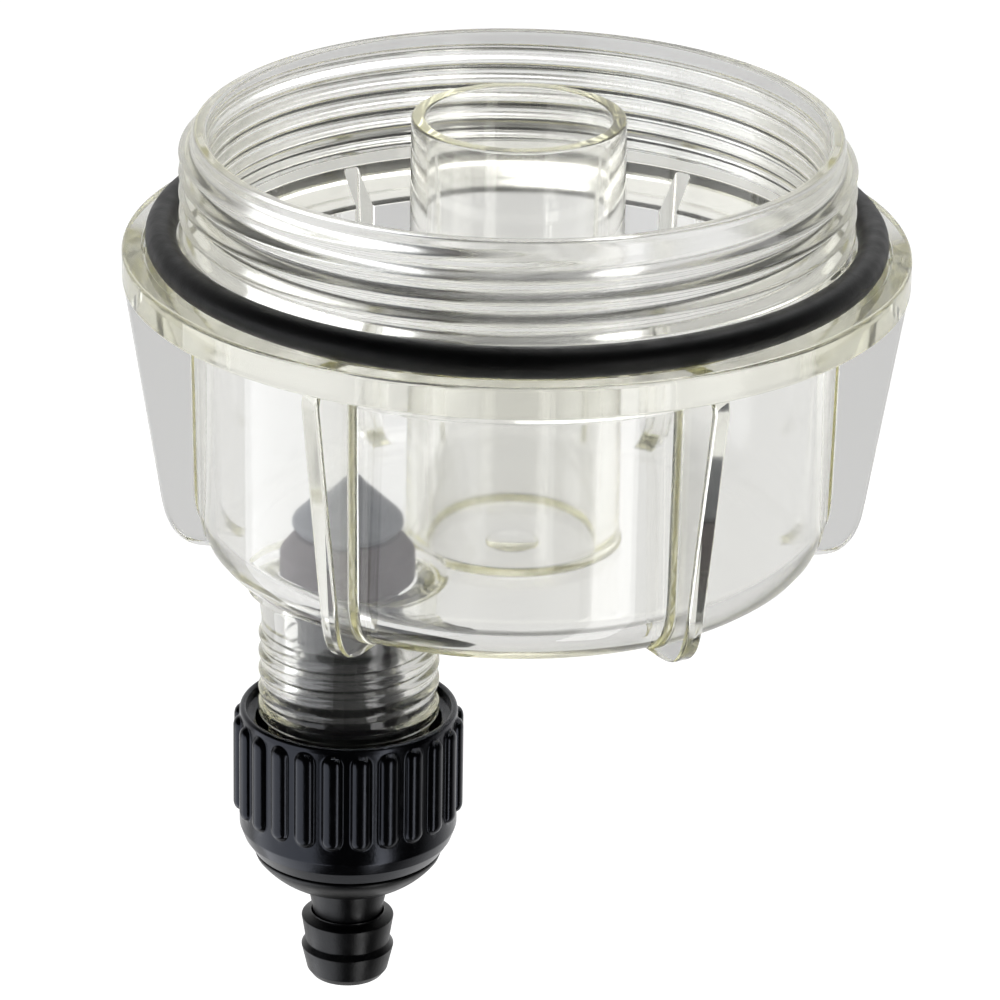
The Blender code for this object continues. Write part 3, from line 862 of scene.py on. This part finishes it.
def clear_plastic():
    """Slightly yellow clear plastic, polished, and duller on the collar's and the spigot's threads."""
    material, tree, shader = new_material("clear plastic", (1.0, 1.0, 1.0), CLEAR_ROUGHNESS)
    shader.inputs["Transmission Weight"].default_value = CLEAR_TRANSMISSION
    shader.inputs["IOR"].default_value = CLEAR_IOR
    place = tree.nodes.new("ShaderNodeTexCoord")
    parts = tree.nodes.new("ShaderNodeSeparateXYZ")
    tree.links.new(place.outputs["Object"], parts.inputs[0])
    flat = tree.nodes.new("ShaderNodeCombineXYZ")
    tree.links.new(parts.outputs["X"], flat.inputs["X"])
    tree.links.new(parts.outputs["Y"], flat.inputs["Y"])
    high = ranged(tree, parts.outputs["Z"], 0.0, THREAD_DULLNESS, *COLLAR_DULL_Z)
    wide = ranged(tree, vector_length(tree, flat.outputs[0]), 0.0, 1.0, *COLLAR_DULL_R)
    collar = calculated(tree, "MULTIPLY", high, wide)
    spigot = ranged(tree, parts.outputs["Z"], THREAD_DULLNESS, 0.0, *SPIGOT_DULL_Z)
    dull = calculated(tree, "MAXIMUM", collar, spigot)
    polish = ranged(tree, noise(tree, CLEAR_CLOUDS), *CLEAR_POLISH)
    tree.links.new(calculated(tree, "ADD", polish, dull), shader.inputs["Roughness"])
    bump(tree, shader, noise(tree, CLEAR_WAVES, 2.0, CLEAR_WAVE_STRETCH), CLEAR_WAVE_DEPTH)
    volume = tree.nodes.new("ShaderNodeVolumeAbsorption")
    volume.inputs["Color"].default_value = CLEAR_TINT
    volume.inputs["Density"].default_value = CLEAR_DENSITY
    tree.links.new(volume.outputs["Volume"], tree.nodes["Material Output"].inputs["Volume"])
    return material


def opaque(name):
    """A finish from the table, with mottled colour and roughness and a fine grain."""
    dark, light, roughness, grain = FINISHES[name]
    material, tree, shader = new_material(name, light, sum(roughness) / 2)
    tree.links.new(toned(tree, noise(tree, MOTTLE, 4.0), dark, light), shader.inputs["Base Color"])
    tree.links.new(ranged(tree, noise(tree, SMUDGES), *roughness), shader.inputs["Roughness"])
    bump(tree, shader, noise(tree, GRAIN), grain)
    return material, shader


def give(obj, material):
    """Gives a piece its only material."""
    obj.data.materials.clear()
    obj.data.materials.append(material)


def give_node(node, material):
    """A carried-over CAD node keeps its shape and gets a procedural material."""
    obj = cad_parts[node]
    if not obj.material_slots:
        obj.data.materials.append(None)
    obj.material_slots[0].link = "OBJECT"
    obj.material_slots[0].material = material


# ---------------------------------------------------------------- studio

VIEW_AIM = (11.35 * MM, -8.69 * MM, -33.24 * MM)
VIEW_AZIMUTH = math.radians(59.867)  # from -Y towards +X
VIEW_ELEVATION = math.radians(22.675)
VIEW_ROLL = math.radians(0.9244)
VIEW_DISTANCE = 843.2 * MM
LENS_MM = 216.12
SENSOR_MM = 36.0
WHITE = (1.0, 1.0, 1.0, 1.0)

# Glow of the room. Each TURN says where the first value has given way to the second, as the cosine of the
# angle from straight away from the camera.
REFLECTED_GLOW = (0.015, 0.9)  # in reflections: on the camera's side, and beyond the bowl
REFLECTED_TURN = (0.1, 0.75)
THROUGH_ROOM_GLOW = (0.04, 0.85)  # through the plastic: back towards the camera, and to its sides
THROUGH_ROOM_TURN = (-0.95, -0.75)
THROUGH_BACK_GLOW = (0.0, 0.8)  # through the plastic: beyond the bowl
THROUGH_BACK_TURN = (-0.5, 0.56)

FLOOR_COLOR = (0.8, 0.8, 0.8)
FLOOR_ROUGHNESS = 0.9
FLOOR_SIZE = 12.0
FLOOR_DROP = 350.0 * MM

# Glow of the floor through the plastic. Light bent many times sees painted shade: the floor glows dark below
# the bowl and dimmer in front of it. TURN is in metres beyond the bowl, and REACH in metres round it.
THROUGH_FLOOR_GLOW = (0.45, 0.5)  # in front of the bowl, and beyond it
FLOOR_TURN = (-0.3, -0.02)
UNDER_SHADE_GLOW = (0.0, 0.85)  # for light bent many times: below the bowl, and away from there
UNDER_REACH = (0.15, 0.4)
UNDER_SHARE = (0.1, 1.0)  # of that glow: in front of the bowl, and beyond it
DEEP = (3.4, 3.6)  # how many surfaces light bent many times has passed

# azimuth, elevation, distance, size, glow, colour
LIGHTS = {
    "left softbox": (-72, -30, 0.6, (0.84, 0.75), 1.3, (0.93, 0.95, 1.0)),
    "right strip": (36, -30, 0.6, (0.15, 0.75), 2.4, (1.0, 1.0, 1.0)),
    "top softbox": (150, 62, 0.9, (0.7, 0.5), 2.5, (1.0, 1.0, 1.0)),
}
LIGHT_AIM_Z = -40.0 * MM


def view_direction():
    """From the bowl towards the camera."""
    level = math.cos(VIEW_ELEVATION)
    return Vector((math.sin(VIEW_AZIMUTH) * level, -math.cos(VIEW_AZIMUTH) * level, math.sin(VIEW_ELEVATION)))


def make_camera():
    """A long lens, a little above the bowl."""
    data = bpy.data.cameras.new("view")
    data.lens = LENS_MM
    data.sensor_width = SENSOR_MM
    data.clip_start = 0.05
    data.clip_end = 20.0
    camera = bpy.data.objects.new("view", data)
    bpy.context.scene.collection.objects.link(camera)
    out = view_direction()
    turn = out.to_track_quat("Z", "Y").to_matrix().to_4x4()
    place = Matrix.Translation(Vector(VIEW_AIM) + out * VIEW_DISTANCE)
    camera.matrix_world = place @ turn @ Matrix.Rotation(VIEW_ROLL, 4, "Z")
    bpy.context.scene.camera = camera


def make_floor():
    """Pale floor well below the bowl, which hangs. Mirror reflections don't show it."""
    bpy.ops.mesh.primitive_plane_add(size=FLOOR_SIZE, location=(0.0, 0.0, TAIL_LOW.z - FLOOR_DROP))
    floor = bpy.context.object
    floor.name = "floor"
    floor.visible_glossy = False
    material, tree, shader = new_material("floor", FLOOR_COLOR, FLOOR_ROUGHNESS)
    shader.inputs["Specular IOR Level"].default_value = 0.0
    shader.inputs["Emission Color"].default_value = WHITE
    light_path = tree.nodes.new("ShaderNodeLightPath")
    place = tree.nodes.new("ShaderNodeTexCoord")
    beyond = distance_along(tree, place.outputs["Object"], -view_direction())
    lit = ranged(tree, beyond, *THROUGH_FLOOR_GLOW, *FLOOR_TURN)
    through = calculated(tree, "MULTIPLY", lit, light_path.outputs["Is Transmission Ray"])
    strength = calculated(tree, "MAXIMUM", through, light_path.outputs["Is Camera Ray"])
    tree.links.new(strength, shader.inputs["Emission Strength"])
    # Painted shade: for light bent many times, the floor's glow is dark below the bowl and dimmer in front of
    # it.
    under = tree.nodes.new("ShaderNodeEmission")
    far = ranged(tree, vector_length(tree, place.outputs["Object"]), *UNDER_SHADE_GLOW, *UNDER_REACH)
    behind = ranged(tree, beyond, *UNDER_SHARE, *FLOOR_TURN)
    tree.links.new(calculated(tree, "MULTIPLY", far, behind), under.inputs["Strength"])
    deep = tree.nodes.new("ShaderNodeMixShader")
    tree.links.new(ranged(tree, light_path.outputs["Transmission Depth"], 0.0, 1.0, *DEEP), deep.inputs[0])
    tree.links.new(shader.outputs[0], deep.inputs[1])
    tree.links.new(under.outputs[0], deep.inputs[2])
    tree.links.new(deep.outputs[0], tree.nodes["Material Output"].inputs["Surface"])
    give(floor, material)


def make_world():
    """A white backdrop beyond the bowl and a dim room on the camera's side."""
    world = bpy.data.worlds.new("studio")
    bpy.context.scene.world = world
    world.use_nodes = True
    tree = world.node_tree
    background = tree.nodes["Background"]
    direction = tree.nodes.new("ShaderNodeTexCoord")
    light_path = tree.nodes.new("ShaderNodeLightPath")
    toward = distance_along(tree, direction.outputs["Generated"], -view_direction())
    reflected = ranged(tree, toward, *REFLECTED_GLOW, *REFLECTED_TURN)
    sideways = ranged(tree, toward, *THROUGH_ROOM_GLOW, *THROUGH_ROOM_TURN)
    backdrop = ranged(tree, toward, *THROUGH_BACK_GLOW, *THROUGH_BACK_TURN)
    refracted = calculated(tree, "MAXIMUM", sideways, backdrop)
    seen = chosen(tree, light_path.outputs["Is Transmission Ray"], reflected, refracted)
    strength = calculated(tree, "MAXIMUM", seen, light_path.outputs["Is Camera Ray"])
    tree.links.new(strength, background.inputs["Strength"])
    background.inputs["Color"].default_value = WHITE


def make_light(name, azimuth, elevation, distance, size, glow, color):
    """An area light aimed at the bowl. Azimuth runs from the camera's side, positive to its right."""
    data = bpy.data.lights.new(name, "AREA")
    data.shape = "RECTANGLE"
    data.size, data.size_y = size
    data.energy = glow * math.pi * size[0] * size[1]
    data.color = color
    lamp = bpy.data.objects.new(name, data)
    bpy.context.scene.collection.objects.link(lamp)
    a = VIEW_AZIMUTH + math.radians(azimuth)
    e = math.radians(elevation)
    out = Vector((math.sin(a) * math.cos(e), -math.cos(a) * math.cos(e), math.sin(e)))
    middle = Matrix.Translation(out * distance + Vector((0.0, 0.0, LIGHT_AIM_Z)))
    lamp.matrix_world = middle @ out.to_track_quat("Z", "Y").to_matrix().to_4x4()
    lamp.visible_camera = False


def make_studio():
    """Camera, floor, room and lights, with enough bounces for light to pass through the whole bowl."""
    make_camera()
    make_floor()
    make_world()
    for name, light in LIGHTS.items():
        make_light(name, *light)
    paths = bpy.context.scene.cycles
    paths.max_bounces = 40
    paths.glossy_bounces = 24
    paths.transmission_bounces = 32
    view = bpy.context.scene.view_settings
    view.view_transform = "Standard"
    view.look = "None"


# ---------------------------------------------------------------- the scene


def main():
    """Builds the studio and the pieces and gives every piece and carried-over node its material."""
    make_studio()
    bowl = make_bowl()
    give(bowl, clear_plastic())
    finish = {}
    shaders = {}
    for name in FINISHES:
        finish[name], shaders[name] = opaque(name)
    shaders["black plastic"].inputs["Specular Tint"].default_value = NUT_SHEEN_TINT
    shaders["spring steel"].inputs["Metallic"].default_value = 1.0
    give(make_seal_ring(), finish["ring rubber"])
    give(make_nut(), finish["black plastic"])
    give(make_tail(), finish["tail plastic"])
    give(make_seal(), finish["seal rubber"])
    give(make_tip(), finish["tip plastic"])
    give_node("valve_stem", finish["tail plastic"])
    give_node("stem_o_ring", finish["ring rubber"])
    give_node("retaining_clip", finish["spring steel"])


main()
